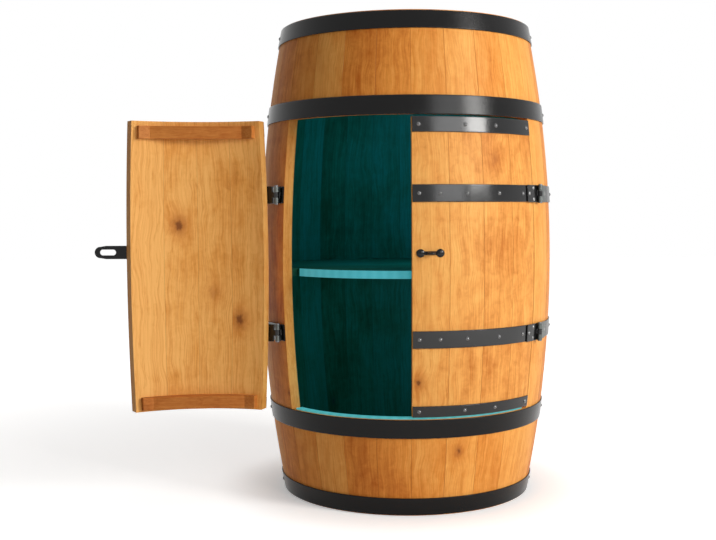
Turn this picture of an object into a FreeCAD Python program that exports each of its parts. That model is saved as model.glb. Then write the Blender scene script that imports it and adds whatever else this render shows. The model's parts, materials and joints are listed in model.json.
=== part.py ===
"""Barrel bar cabinet: an upright stave barrel with two hinged doors, a shelf, steel hoops and light strips.

Millimetres and degrees. +Z is up and the origin is on the barrel's axis at the level it stands on.
The doors face -Y. A bearing is an angle round the barrel from -Y, positive towards +X.
The wall bulges: every stave, hoop, strap and hinge leaf follows circular arcs about one bend centre,
so each is a sector of a ring whose profile is two concentric arcs.
"""
import FreeCAD, Part
import math
import os
import re
import Sketcher

App = FreeCAD
Vector = App.Vector
UP = Vector(0, 0, 1)

SIZES = {
    # barrel wall
    "barrel_height": 800.0,
    "belly_radius": 253.5,
    "end_radius": 213.5,
    "wall": 18.0,
    "stave_edge": 0.5,
    "rim_land": 10.0,
    "chime_depth": 12.0,
    "full_staves": 18,
    # heads let into the croze
    "head_recess": 16.0,
    "head_thickness": 16.0,
    "head_boards": 7,
    "tongue_thickness": 6.0,
    "tongue_reach": 4.5,
    "croze_depth": 5.0,
    "croze_play": 0.2,
    "seat_gap": 0.2,
    # doorway
    "door_span": 54.4,
    "staves_per_door": 4,
    "sill_top": 159.5,
    "header_bottom": 636.5,
    "door_bottom": 163.5,
    "door_top": 632.0,
    "seam_gap": 0.5,
    "jamb_gap": 1.5,
    # hoops and straps
    "hoop_thickness": 2.0,
    "hoop_gap": 0.15,
    "end_hoop_width": 28.0,
    "end_hoop_inset": 1.5,
    "quarter_hoop_width": 30.0,
    "upper_quarter_bottom": 635.5,
    "lower_quarter_bottom": 129.0,
    "bilge_hoop_width": 27.0,
    "upper_bilge_middle": 513.5,
    "lower_bilge_middle": 286.5,
    "upper_strap_width": 24.0,
    "lower_strap_width": 17.5,
    "strap_margin": 1.0,
    # rivets
    "rivet_head_radius": 3.4,
    "rivet_head_height": 2.0,
    "rivet_shank_radius": 1.8,
    "rivet_shank_length": 12.0,
    "hoop_rivet_shank": 2.0,
    "hoop_rivet_bearing": 82.0,
    "rivet_end_inset": 12.0,
    "rivet_pitch": 33.0,
    "leaf_tip_to_rivet": 10.0,
    # hinges
    "hinge_offset": 11.5,
    "knuckle_clearance": 0.8,
    "leaf_height": 28.0,
    "leaf_length": 36.0,
    "leaf_thickness": 2.0,
    "leaf_gap": 0.1,
    "knuckle_radius": 4.0,
    "knuckle_play": 0.25,
    "relief_depth": 12.0,
    "pin_radius": 2.5,
    "pin_play": 0.05,
    "pin_head_radius": 3.4,
    "pin_head_height": 1.5,
    "screw_head_radius": 2.9,
    "screw_head_height": 1.3,
    "screw_shank_radius": 1.5,
    "screw_shank_length": 13.0,
    "screw_slot": 0.7,
    "near_screw": 17.0,
    "far_screw": 30.0,
    "near_screw_spread": 9.0,
    # cleats inside the doors
    "cleat_height": 20.0,
    "cleat_depth": 20.0,
    "cleat_end": 8.0,
    "cleat_half_flat": 73.0,
    "cleat_half_angle": 24.5,
    "upper_cleat_bottom": 604.0,
    "lower_cleat_bottom": 167.0,
    # shelf and its clips
    "shelf_bottom": 380.0,
    "shelf_thickness": 12.5,
    "shelf_play": 0.3,
    "shelf_setback": 7.5,
    "clip_count": 6,
    "clip_end_angle": 11.42,
    "clip_width": 12.0,
    "clip_reach": 14.0,
    "clip_thickness": 2.0,
    "peg_radius": 2.5,
    "peg_depth": 8.0,
    # light strips
    "strip_thickness": 2.5,
    "strip_width": 10.0,
    "strip_half_angle": 52.0,
    "sill_strip_inset": 3.0,
    "header_strip_rise": 6.0,
    "battery_length": 90.0,
    "battery_width": 60.0,
    "battery_height": 22.0,
    "battery_lid": 2.0,
    "battery_offset": 60.0,
    # hasp on the left door
    "hasp_height": 421.0,
    "hasp_pin_inset": 11.0,
    "hasp_axis_lift": 3.7,
    "hasp_knuckle_radius": 3.0,
    "hasp_pin_radius": 1.6,
    "hasp_pin_head_radius": 2.4,
    "hasp_leaf_height": 22.0,
    "hasp_leaf_length": 28.0,
    "hasp_leaf_thickness": 1.8,
    "hasp_screw": 19.0,
    "hasp_screw_spread": 5.5,
    "flap_length": 62.0,
    "flap_height": 21.7,
    "flap_tip_height": 18.5,
    "flap_shoulder": 43.0,
    "flap_thickness": 1.8,
    "slot_middle": 40.0,
    "slot_length": 26.5,
    "slot_height": 9.4,
    # staple on the right door
    "staple_offset": 28.5,
    "staple_screw_pitch": 31.0,
    "staple_base_height": 6.0,
    "staple_base_thickness": 1.0,
    "staple_wire_radius": 1.8,
    "staple_loop_width": 9.4,
    "staple_loop_reach": 10.5,
    "disc_radius": 6.5,
    "disc_height": 2.0,
    # how the doors and the flap stand at rest
    "left_door_opening": 147.0,
    "flap_opening": 33.0,
}

ALIASES = re.compile(r"\b(" + "|".join(sorted(SIZES, key=len, reverse=True)) + r")\b")

doc = App.newDocument("barrel_bar_cabinet")
sheet = doc.addObject("Spreadsheet::Sheet", "sizes")
for row, (alias, amount) in enumerate(SIZES.items(), start=1):
    sheet.set(f"A{row}", alias.replace("_", " "))
    sheet.set(f"B{row}", str(amount))
    sheet.setAlias(f"B{row}", alias)
doc.recompute()

NODES = []


def bind(text):
    """The expression that FreeCAD keeps: each named size read from the sheet."""
    return ALIASES.sub(r"sizes.\1", text)


def value(text):
    return float(sheet.evalExpression(bind(text)))


# ---------------------------------------------------------------- geometry of the bulging wall
RISE = "(belly_radius - end_radius)"
BEND = f"(((barrel_height / 2)^2 + {RISE}^2) / (2 * {RISE}))"
BEND_CENTRE = (f"(belly_radius - {BEND})", "(barrel_height / 2)")
INNER = "(0 - wall)"
HOOP_IN = "hoop_gap"
HOOP_OUT = "(hoop_gap + hoop_thickness)"
LEAF_IN = "(hoop_gap + hoop_thickness + leaf_gap)"
LEAF_OUT = "(hoop_gap + hoop_thickness + leaf_gap + leaf_thickness)"
MIDDLE = "(barrel_height / 2)"


def radius_at(height, offset="0"):
    """Radius of the surface that lies offset outside the wall, at a height."""
    return f"(belly_radius - {BEND} + sqrt(({BEND} + {offset})^2 - ({height} - barrel_height / 2)^2))"


def degrees_of(length, radius="belly_radius"):
    """The angle that a length takes up along the wall."""
    return f"({length} / {radius} * 180 / pi)"


def turned(bearing):
    """Placement that turns a piece built on +X to its bearing."""
    return App.Placement(Vector(0, 0, 0), App.Rotation(UP, bearing - 90))


def on_wall(bearing, height, offset):
    """Placement on the wall: X along the bearing, Y up the bend, Z straight out of the surface."""
    angle = math.radians(bearing - 90)
    slope = math.asin((height - value(MIDDLE)) / (value(BEND) + offset))
    out = Vector(math.cos(slope) * math.cos(angle), math.cos(slope) * math.sin(angle), math.sin(slope))
    along = Vector(-math.sin(angle), math.cos(angle), 0)
    radius = value(radius_at(f"{height}", f"{offset}"))
    foot = Vector(radius * math.cos(angle), radius * math.sin(angle), height)
    return App.Placement(foot, App.Rotation(along, out.cross(along), out, "ZXY"))


def swung(point, angle):
    """Placement that turns a piece about a vertical line through a point."""
    return App.Placement(Vector(0, 0, 0), App.Rotation(UP, angle), point)


def point_at(bearing, radius):
    angle = math.radians(bearing - 90)
    return Vector(radius * math.cos(angle), radius * math.sin(angle), 0)


# hinge pins: both on one upright line, with their knuckles clear of the widest hoop beside them
HINGE_WALL = (f"max({radius_at('(upper_bilge_middle - leaf_height / 2)')}; "
              f"{radius_at('(lower_bilge_middle + leaf_height / 2)')})")
HINGE_RADIUS = f"({HINGE_WALL} + {HOOP_OUT} + knuckle_clearance + knuckle_radius)"
HINGE_BEARING = f"(door_span + {degrees_of('hinge_offset')})"
LEFT_HINGE = point_at(-value(HINGE_BEARING), value(HINGE_RADIUS))
LEFT_SWING = swung(LEFT_HINGE, -value("left_door_opening"))
STAY = App.Placement()

# hasp: its pin stands beside the left door's free edge
HASP_BEARING = f"(0 - {degrees_of('(seam_gap + hasp_pin_inset)')})"
HASP_RADIUS = "(belly_radius + hasp_axis_lift)"
HASP_POINT = point_at(value(HASP_BEARING), value(HASP_RADIUS))
FLAP_SWING = LEFT_SWING.multiply(swung(HASP_POINT, -value("flap_opening")))


# ---------------------------------------------------------------- sketches and features
def origin_plane(body, role):
    return next(plane for plane in body.Origin.OriginFeatures if plane.Role == role)


def new_body(name):
    return doc.addObject("PartDesign::Body", name)


def new_sketch(body, role, lift=None):
    sketch = body.newObject("Sketcher::SketchObject", body.Name + "_sketch")
    sketch.AttachmentSupport = [(origin_plane(body, role), "")]
    sketch.MapMode = "FlatFace"
    if lift:
        sketch.setExpression("AttachmentOffset.Base.z", bind(lift))
    return sketch


def hold(sketch, kind, geometry, end, text):
    """A dimension from the sketch's origin to a point, bound to the sheet."""
    index = sketch.addConstraint(Sketcher.Constraint(kind, geometry, end, value(text)))
    sketch.setExpression(f"Constraints[{index}]", bind(text))


def outline(body, role, corners, arcs=None, lift=None):
    """Closed outline through corners. arcs maps an edge's number to its centre and radius."""
    arcs = arcs or {}
    sketch = new_sketch(body, role, lift)
    points = [Vector(value(across), value(up), 0) for across, up in corners]
    ends = []
    for number, start in enumerate(points):
        finish = points[(number + 1) % len(points)]
        if number not in arcs:
            sketch.addGeometry(Part.LineSegment(start, finish))
            ends.append((1, 2))
            continue
        centre_across, centre_up, radius = arcs[number]
        centre = Vector(value(centre_across), value(centre_up), 0)
        first = math.atan2(start.y - centre.y, start.x - centre.x)
        last = math.atan2(finish.y - centre.y, finish.x - centre.x)
        forward = (last - first) % (2 * math.pi) < math.pi
        circle = Part.Circle(centre, UP, value(radius))
        sketch.addGeometry(Part.ArcOfCircle(circle, *((first, last) if forward else (last, first))))
        ends.append((1, 2) if forward else (2, 1))
    for number, (across, up) in enumerate(corners):
        following = (number + 1) % len(points)
        sketch.addConstraint(Sketcher.Constraint("Coincident", number, ends[number][1],
                                                 following, ends[following][0]))
        hold(sketch, "DistanceX", number, ends[number][0], across)
        hold(sketch, "DistanceY", number, ends[number][0], up)
    for number, (_, _, radius) in arcs.items():
        index = sketch.addConstraint(Sketcher.Constraint("Radius", number, value(radius)))
        sketch.setExpression(f"Constraints[{index}]", bind(radius))
    return sketch


def circle(body, role, across, up, radius, lift=None):
    sketch = new_sketch(body, role, lift)
    sketch.addGeometry(Part.Circle(Vector(value(across), value(up), 0), UP, value(radius)))
    hold(sketch, "DistanceX", 0, 3, across)
    hold(sketch, "DistanceY", 0, 3, up)
    index = sketch.addConstraint(Sketcher.Constraint("Radius", 0, value(radius)))
    sketch.setExpression(f"Constraints[{index}]", bind(radius))
    return sketch


def turn_about_axis(body, sketch, angle, centred=True, backwards=False, kind="Revolution"):
    """A sector of a ring: the sketch swept about the barrel's axis."""
    feature = body.newObject(f"PartDesign::{kind}", f"{body.Name}_{kind.lower()}")
    feature.Profile = sketch
    feature.ReferenceAxis = (sketch, ["V_Axis"])
    feature.Midplane = centred
    feature.Reversed = backwards
    feature.setExpression("Angle", bind(angle))
    return feature


def pad(body, sketch, length, centred=False):
    feature = body.newObject("PartDesign::Pad", body.Name + "_pad")
    feature.Profile = sketch
    feature.setExpression("Length", bind(length))
    feature.SideType = "Symmetric" if centred else "One side"
    return feature


def pocket(body, sketch, length, upwards=True):
    feature = body.newObject("PartDesign::Pocket", body.Name + "_pocket")
    feature.Profile = sketch
    feature.setExpression("Length", bind(length))
    feature.Reversed = upwards
    return feature


def bent(low, high, inner, outer):
    """Corners and arcs of a profile between two concentric arcs, from low to high."""
    corners = [(radius_at(low, outer), low), (radius_at(high, outer), high),
               (radius_at(high, inner), high), (radius_at(low, inner), low)]
    arcs = {0: (*BEND_CENTRE, f"({BEND} + {outer})"), 2: (*BEND_CENTRE, f"({BEND} + {inner})")}
    return corners, arcs


def bent_sector(name, low, high, inner, outer, angle, centred=True, backwards=False):
    body = new_body(name)
    sketch = outline(body, "XZ_Plane", *bent(low, high, inner, outer))
    turn_about_axis(body, sketch, angle, centred, backwards)
    return body


def node(thing, placement=STAY):
    """Counts a finished sub-part in, where it stands."""
    thing.Placement = placement.multiply(thing.Placement)
    NODES.append(thing)
    return thing


def group(name, members):
    compound = doc.addObject("Part::Compound", name)
    compound.Links = members
    return compound


def copies(name, master, placements):
    """Equal fasteners: one solid set in several places."""
    feature = doc.addObject("Part::Feature", name)
    feature.Shape = Part.makeCompound([master.Shape.transformed(place.toMatrix()) for place in placements])
    return feature


# ---------------------------------------------------------------- staves
def long_outer_edges(shape):
    """Names of the two long edges on the outside of a stave."""
    names = []
    for number, edge in enumerate(shape.Edges, start=1):
        first, last = edge.Vertexes[0].Point, edge.Vertexes[-1].Point
        upright = abs(last.z - first.z) > value("wall")
        outside = all(
            abs(math.hypot(end.x, end.y) - value(radius_at(f"{end.z}"))) < value("seat_gap")
            for end in (first, last))
        if upright and outside:
            names.append(f"Edge{number}")
    return names


def stave(name, low, high, angle, has_bottom_end, has_top_end):
    """A bent board. Where it reaches an end of the barrel it has the chime bevel and the croze."""
    body = new_body(name)
    corners = [(radius_at(low), low), (radius_at(high), high)]
    arcs = {0: (*BEND_CENTRE, BEND)}
    inner_arc = (*BEND_CENTRE, f"({BEND} + {INNER})")
    groove = "(head_recess + head_thickness / 2 - tongue_thickness / 2 - croze_play)"
    groove_end = "(head_recess + head_thickness / 2 + tongue_thickness / 2 + croze_play)"
    if has_top_end:
        top, near, far = (f"(barrel_height - {depth})" for depth in ("chime_depth", groove, groove_end))
        corners += [(f"({radius_at(high)} - rim_land)", high), (radius_at(top, INNER), top)]
        arcs[len(corners) - 1] = inner_arc
        corners += [(radius_at(near, INNER), near), (f"({radius_at(near, INNER)} + croze_depth)", near),
                    (f"({radius_at(near, INNER)} + croze_depth)", far), (radius_at(far, INNER), far)]
    else:
        corners.append((radius_at(high, INNER), high))
    arcs[len(corners) - 1] = inner_arc
    if has_bottom_end:
        corners += [(radius_at(groove_end, INNER), groove_end),
                    (f"({radius_at(groove, INNER)} + croze_depth)", groove_end),
                    (f"({radius_at(groove, INNER)} + croze_depth)", groove),
                    (radius_at(groove, INNER), groove)]
        arcs[len(corners) - 1] = inner_arc
        corners += [(radius_at("chime_depth", INNER), "chime_depth"),
                    (f"({radius_at(low)} - rim_land)", low)]
    else:
        corners.append((radius_at(low, INNER), low))
    sketch = outline(body, "XZ_Plane", corners, arcs)
    board = turn_about_axis(body, sketch, angle)
    doc.recompute()
    easing = body.newObject("PartDesign::Chamfer", name + "_easing")
    easing.Base = (board, long_outer_edges(board.Shape))
    easing.setExpression("Size", bind("stave_edge"))
    return body


def short_staves(name, low, high, has_bottom_end, has_top_end, first_edge, last_edge, count):
    """Staves side by side between two bearings, as one group."""
    step = (value(last_edge) - value(first_edge)) / count
    width = f"(({last_edge} - {first_edge}) / {count})"
    members = []
    for number in range(count):
        piece = stave(f"{name}_{number + 1}", low, high, width, has_bottom_end, has_top_end)
        piece.Placement = turned(value(first_edge) + (number + 0.5) * step)
        members.append(piece)
    return group(name, members)


full_count = int(value("full_staves"))
FULL_WIDTH = "((360 - 2 * door_span) / full_staves)"
for number in range(full_count):
    board = stave(f"stave_{number + 1:02d}", "0", "barrel_height", FULL_WIDTH, True, True)
    node(board, turned(value("door_span") + (number + 0.5) * value(FULL_WIDTH)))

door_staves = int(value("staves_per_door"))
node(short_staves("header_staves", "header_bottom", "barrel_height", False, True,
                  "(0 - door_span)", "door_span", 2 * door_staves))
node(short_staves("sill_staves", "0", "sill_top", True, False,
                  "(0 - door_span)", "door_span", 2 * door_staves))


# ---------------------------------------------------------------- heads
def head(name, low):
    """Boards side by side, with a tongue round the rim that sits in the croze."""
    high = f"({low} + head_thickness)"
    middle = f"({low} + head_thickness / 2)"
    narrow = high if value(middle) > value(MIDDLE) else low
    rim = f"({radius_at(narrow, INNER)} - seat_gap)"
    tongue_rim = f"({rim} + tongue_reach)"
    tongue_low = f"({middle} - tongue_thickness / 2)"
    tongue_high = f"({middle} + tongue_thickness / 2)"
    disc = new_body(name + "_disc")
    sketch = outline(disc, "XZ_Plane", [
        ("0", low), (rim, low), (rim, tongue_low), (tongue_rim, tongue_low),
        (tongue_rim, tongue_high), (rim, tongue_high), (rim, high), ("0", high)])
    turn_about_axis(disc, sketch, "360")
    count = int(value("head_boards"))
    width = f"(2 * {tongue_rim} / head_boards)"
    boards = []
    for number in range(count):
        slab = doc.addObject("Part::Box", f"{name}_slab_{number + 1}")
        slab.setExpression("Length", bind(width))
        slab.setExpression("Width", bind(f"2 * {tongue_rim}"))
        slab.setExpression("Height", bind("head_thickness"))
        slab.setExpression("Placement.Base.x", bind(f"{number} * {width} - {tongue_rim}"))
        slab.setExpression("Placement.Base.y", bind(f"0 - {tongue_rim}"))
        slab.setExpression("Placement.Base.z", bind(low))
        board = doc.addObject("Part::Common", f"{name}_board_{number + 1}")
        board.Base = disc
        board.Tool = slab
        boards.append(board)
    return group(name, boards)


node(head("top_head", "(barrel_height - head_recess - head_thickness)"))
node(head("bottom_head", "head_recess"))


# ---------------------------------------------------------------- hoops
def hoop(name, low, width, angle="360"):
    body = bent_sector(name, low, f"({low} + {width})", HOOP_IN, HOOP_OUT, angle)
    return node(body, turned(180))


OPEN_HOOP = "(360 - 2 * door_span)"
UPPER_BILGE = "(upper_bilge_middle - bilge_hoop_width / 2)"
LOWER_BILGE = "(lower_bilge_middle - bilge_hoop_width / 2)"
hoop("top_hoop", "(barrel_height - end_hoop_inset - end_hoop_width)", "end_hoop_width")
hoop("upper_quarter_hoop", "upper_quarter_bottom", "quarter_hoop_width")
hoop("upper_bilge_hoop", UPPER_BILGE, "bilge_hoop_width", OPEN_HOOP)
hoop("lower_bilge_hoop", LOWER_BILGE, "bilge_hoop_width", OPEN_HOOP)
hoop("lower_quarter_hoop", "lower_quarter_bottom", "quarter_hoop_width")
hoop("bottom_hoop", "end_hoop_inset", "end_hoop_width")


# ---------------------------------------------------------------- fasteners
def headed_pin(name, head_radius, head_height, shank_radius, shank_length, slot=None):
    """A domed head on +Z whose underside is at zero, with its shank below."""
    ball = f"(({head_radius}^2 + {head_height}^2) / (2 * {head_height}))"
    body = new_body(name)
    sketch = outline(body, "XZ_Plane", [
        ("0", f"(0 - {shank_length})"), (shank_radius, f"(0 - {shank_length})"), (shank_radius, "0"),
        (head_radius, "0"), ("0", head_height)],
        {3: ("0", f"({head_height} - {ball})", ball)})
    turn_about_axis(body, sketch, "360")
    if slot:
        half = f"({slot} / 2)"
        for across, along in ((half, head_radius), (head_radius, half)):
            cut = outline(body, "XY_Plane", [
                (f"(0 - {across})", f"(0 - {along})"), (across, f"(0 - {along})"),
                (across, along), (f"(0 - {across})", along)], lift=f"({head_height} / 2)")
            pocket(body, cut, head_height)
    return body


rivet = headed_pin("rivet", "rivet_head_radius", "rivet_head_height", "rivet_shank_radius",
                   "rivet_shank_length")
hoop_rivet = headed_pin("hoop_rivet", "rivet_head_radius", "rivet_head_height", "rivet_shank_radius",
                        "hoop_rivet_shank")
screw = headed_pin("screw", "screw_head_radius", "screw_head_height", "screw_shank_radius",
                   "screw_shank_length", "screw_slot")
staple_screw = headed_pin("staple_screw", "disc_radius", "disc_height", "screw_shank_radius",
                          "screw_shank_length")
doc.recompute()

SIDE_BEARINGS = (-value("hoop_rivet_bearing"), value("hoop_rivet_bearing"))
hoop_middles = [value(middle) for middle in (
    "(barrel_height - end_hoop_inset - end_hoop_width / 2)",
    "(upper_quarter_bottom + quarter_hoop_width / 2)", "upper_bilge_middle",
    "lower_bilge_middle", "(lower_quarter_bottom + quarter_hoop_width / 2)",
    "(end_hoop_inset + end_hoop_width / 2)")]
node(copies("hoop_rivets", hoop_rivet, [
    on_wall(bearing, height, value(HOOP_OUT)) for height in hoop_middles for bearing in SIDE_BEARINGS]))


# ---------------------------------------------------------------- shelf, clips and lights
SHELF_TOP = "(shelf_bottom + shelf_thickness)"
SHELF_RADIUS = f"(min({radius_at('shelf_bottom', INNER)}; {radius_at(SHELF_TOP, INNER)}) - shelf_play)"
SHELF_FRONT = f"({SHELF_RADIUS} - shelf_setback)"
shelf = new_body("shelf")
turn_about_axis(shelf, outline(shelf, "XZ_Plane", [
    ("0", "shelf_bottom"), (SHELF_RADIUS, "shelf_bottom"), (SHELF_RADIUS, SHELF_TOP), ("0", SHELF_TOP)]),
    "360")
SHELF_EDGE = f"({SHELF_FRONT} - strip_thickness)"
beyond = f"({SHELF_RADIUS} + shelf_play)"
below, above = "(shelf_bottom - shelf_play)", f"({SHELF_TOP} + shelf_play)"
turn_about_axis(shelf, outline(shelf, "XZ_Plane", [
    (SHELF_EDGE, below), (beyond, below), (beyond, above), (SHELF_EDGE, above)]),
    "(2 * door_span)", kind="Groove")
node(shelf, turned(0))


def ring_strip(name, inner, outer, low, high, half_angle):
    body = new_body(name)
    sketch = outline(body, "XZ_Plane", [(inner, low), (outer, low), (outer, high), (inner, high)])
    turn_about_axis(body, sketch, f"(2 * {half_angle})")
    return node(body, turned(0))


ring_strip("shelf_light", SHELF_EDGE, SHELF_FRONT, "shelf_bottom", SHELF_TOP, "strip_half_angle")
SILL_INNER = f"({radius_at('sill_top', INNER)} + sill_strip_inset)"
ring_strip("sill_light", SILL_INNER, f"({radius_at('sill_top')} - sill_strip_inset)", "sill_top",
           "(sill_top + strip_thickness)", "strip_half_angle")
STRIP_LOW = "(header_bottom + header_strip_rise)"
header_light = bent_sector("header_light", STRIP_LOW, f"({STRIP_LOW} + strip_width)",
                           "(0 - wall - seat_gap - strip_thickness)", "(0 - wall - seat_gap)",
                           "(2 * strip_half_angle)")
node(header_light, turned(0))


def shelf_clip():
    """A peg in the wall with a flat tab under the shelf, on +X."""
    wall_face = f"({radius_at('shelf_bottom', INNER)} - seat_gap)"
    tab = doc.addObject("Part::Box", "clip_tab")
    tab.setExpression("Length", bind("clip_reach"))
    tab.setExpression("Width", bind("clip_width"))
    tab.setExpression("Height", bind("clip_thickness"))
    tab.setExpression("Placement.Base.x", bind(f"{wall_face} - clip_reach"))
    tab.setExpression("Placement.Base.y", bind("0 - clip_width / 2"))
    tab.setExpression("Placement.Base.z", bind("shelf_bottom - clip_thickness"))
    peg = doc.addObject("Part::Cylinder", "clip_peg")
    peg.setExpression("Radius", bind("peg_radius"))
    peg.setExpression("Height", bind("peg_depth + clip_reach / 2"))
    peg.Placement = App.Placement(
        Vector(value(f"{wall_face} - clip_reach / 2"), 0, value("shelf_bottom - peg_radius")),
        App.Rotation(Vector(0, 1, 0), 90))
    clip = doc.addObject("Part::Fuse", "clip")
    clip.Base = tab
    clip.Tool = peg
    doc.recompute()
    return clip


clip = shelf_clip()
clip_total = int(value("clip_count"))
clip_step = value(f"(({OPEN_HOOP} - 2 * clip_end_angle) / (clip_count - 1))")
node(copies("shelf_clips", clip, [
    turned(value("(door_span + clip_end_angle)") + number * clip_step) for number in range(clip_total)]))


def battery_box():
    """A box with a lid, screwed up under the top head behind the header."""
    ceiling = "(barrel_height - head_recess - head_thickness)"
    case = doc.addObject("Part::Box", "battery_case")
    lid = doc.addObject("Part::Box", "battery_cover")
    case.setExpression("Height", bind("battery_height"))
    lid.setExpression("Height", bind("battery_lid"))
    case.setExpression("Placement.Base.z", bind(f"{ceiling} - battery_height"))
    lid.setExpression("Placement.Base.z", bind(f"{ceiling} - battery_height - battery_lid"))
    for box in (case, lid):
        box.setExpression("Length", bind("battery_length"))
        box.setExpression("Width", bind("battery_width"))
        box.setExpression("Placement.Base.x", bind("0 - battery_length / 2"))
        box.setExpression("Placement.Base.y", bind("battery_offset - battery_width / 2"))
    return group("battery_box", [case, lid])


node(battery_box())


# ---------------------------------------------------------------- hinges
def leaf(name, axis_radius, inner, outer, low, high, length, knuckle, bore, thirds, rising):
    """A hinge leaf bent to the barrel, with its pin line on +X at the axis radius.

    thirds says which of the three knuckles are its own. The plate lies towards rising bearings or away.
    """
    body = new_body(name)
    plate = outline(body, "XZ_Plane", *bent(low, high, inner, outer))
    turn_about_axis(body, plate, degrees_of(length, axis_radius), False, not rising)
    web = outline(body, "XZ_Plane", [
        (radius_at(low, inner), low), (axis_radius, low), (axis_radius, high), (radius_at(high, inner), high)],
        {3: (*BEND_CENTRE, f"({BEND} + {inner})")})
    turn_about_axis(body, web, degrees_of(knuckle, axis_radius), False, not rising)
    barrel = circle(body, "XY_Plane", axis_radius, "0", knuckle, low)
    pad(body, barrel, f"({high} - {low})")
    hole = circle(body, "XY_Plane", axis_radius, "0", bore, f"({low} - pin_head_height)")
    pocket(body, hole, f"({high} - {low} + 2 * pin_head_height)")
    reach = f"({knuckle} + knuckle_play)"
    third_height = f"(({high} - {low}) / 3)"
    for third in range(3):
        if third in thirds:
            continue
        below = "knuckle_radius" if third == 0 else "knuckle_play / 2"
        above = "knuckle_radius" if third == 2 else "knuckle_play / 2"
        near, far = f"({axis_radius} - relief_depth)", f"({axis_radius} + relief_depth)"
        space = outline(body, "XY_Plane", [
            (near, f"(0 - {reach})"), (far, f"(0 - {reach})"), (far, reach), (near, reach)],
            lift=f"({low} + {third} * {third_height} - {below})")
        pocket(body, space, f"({third_height} + {below} + {above})")
    return body


OUTER_KNUCKLES = (0, 2)
MIDDLE_KNUCKLE = (1,)
HINGES = {"upper": "upper_bilge_middle", "lower": "lower_bilge_middle"}


def hinge_leaf(name, middle, knuckles, rising):
    return leaf(name, HINGE_RADIUS, LEAF_IN, LEAF_OUT, f"({middle} - leaf_height / 2)",
                f"({middle} + leaf_height / 2)", "leaf_length", "knuckle_radius",
                "(pin_radius + pin_play)", knuckles, rising)


def hinge_pin(name, axis_radius, radius, head_radius, low, high):
    """A pin with a head at each end, standing on +X at the axis radius."""
    body = new_body(name)
    pad(body, circle(body, "XY_Plane", axis_radius, "0", radius, low), f"({high} - {low})")
    pad(body, circle(body, "XY_Plane", axis_radius, "0", head_radius, high), "pin_head_height")
    pad(body, circle(body, "XY_Plane", axis_radius, "0", head_radius, f"({low} - pin_head_height)"),
        "pin_head_height")
    return body


def leaf_screws(middle, side):
    """Places of three screws in a leaf, in a triangle that points away from the pin."""
    spread = value("near_screw_spread")
    lift = value(LEAF_OUT)
    near = side * value(degrees_of("near_screw"))
    far = side * value(degrees_of("far_screw"))
    height = value(middle)
    return [(near, height - spread, lift), (near, height + spread, lift), (far, height, lift)]


def placed(thing, placement):
    thing.Placement = placement
    return thing


body_leaves = []
body_screws = []
for side, door in ((-1, "left"), (1, "right")):
    pin_bearing = side * value(HINGE_BEARING)
    for level, middle in HINGES.items():
        body_leaves.append(placed(
            hinge_leaf(f"{door}_{level}_body_leaf", middle, OUTER_KNUCKLES, side > 0), turned(pin_bearing)))
        body_screws += [on_wall(pin_bearing + turn, height, lift) for turn, height, lift in
                        leaf_screws(middle, side)]
node(group("hinge_body_leaves", body_leaves))
node(copies("hinge_body_screws", screw, body_screws))


# ---------------------------------------------------------------- doors
SEAM_TURN = degrees_of("seam_gap")
JAMB_TURN = degrees_of("jamb_gap")
STRAP_TURN = degrees_of("strap_margin")
STAVE_TURN = f"((door_span - {SEAM_TURN} - {JAMB_TURN}) / staves_per_door)"
RIVETED_STAVES = (1, 2)


def door_edges(side, margin="0"):
    """The two bearings of a door's edges, in rising order, each drawn in by a margin."""
    near = value(f"({SEAM_TURN} + {margin})")
    far = value(f"(door_span - {JAMB_TURN} - {margin})")
    return (near, far) if side > 0 else (-far, -near)


def strap(name, side, low, high):
    first, last = door_edges(side, STRAP_TURN)
    body = bent_sector(name, low, high, HOOP_IN, HOOP_OUT,
                       f"(door_span - {SEAM_TURN} - {JAMB_TURN} - 2 * {STRAP_TURN})")
    return placed(body, turned((first + last) / 2))


def cleat(name, side, low):
    """A batten across the inside of a door: its back is bent to the wall, its front has three facets."""
    high = f"({low} + cleat_height)"
    face = f"({radius_at(low, INNER)} - cleat_depth)"
    body = new_body(name)
    back = "(0 - wall - seat_gap)"
    ring = outline(body, "XZ_Plane", [
        (radius_at(low, back), low), (radius_at(high, back), high), (f"({face} - wall)", high),
        (f"({face} - wall)", low)], {0: (*BEND_CENTRE, f"({BEND} + {back})")})
    turn_about_axis(body, ring, "(2 * cleat_half_angle)")
    narrow = f"min({radius_at(low, back)}; {radius_at(high, back)})"
    end_across = f"(({narrow} - cleat_end) * cos(cleat_half_angle))"
    end_along = f"(({narrow} - cleat_end) * sin(cleat_half_angle))"
    facets = outline(body, "XY_Plane", [
        (face, "(0 - cleat_half_flat)"), (face, "cleat_half_flat"), (end_across, end_along),
        (end_across, "(2 * cleat_half_flat)"), ("0", "(2 * cleat_half_flat)"),
        ("0", "(0 - 2 * cleat_half_flat)"), (end_across, "(0 - 2 * cleat_half_flat)"),
        (end_across, f"(0 - {end_along})")], lift=f"({low} - stave_edge)")
    pocket(body, facets, "(cleat_height + 2 * stave_edge)")
    first, last = door_edges(side)
    return placed(body, turned((first + last) / 2))


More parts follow.
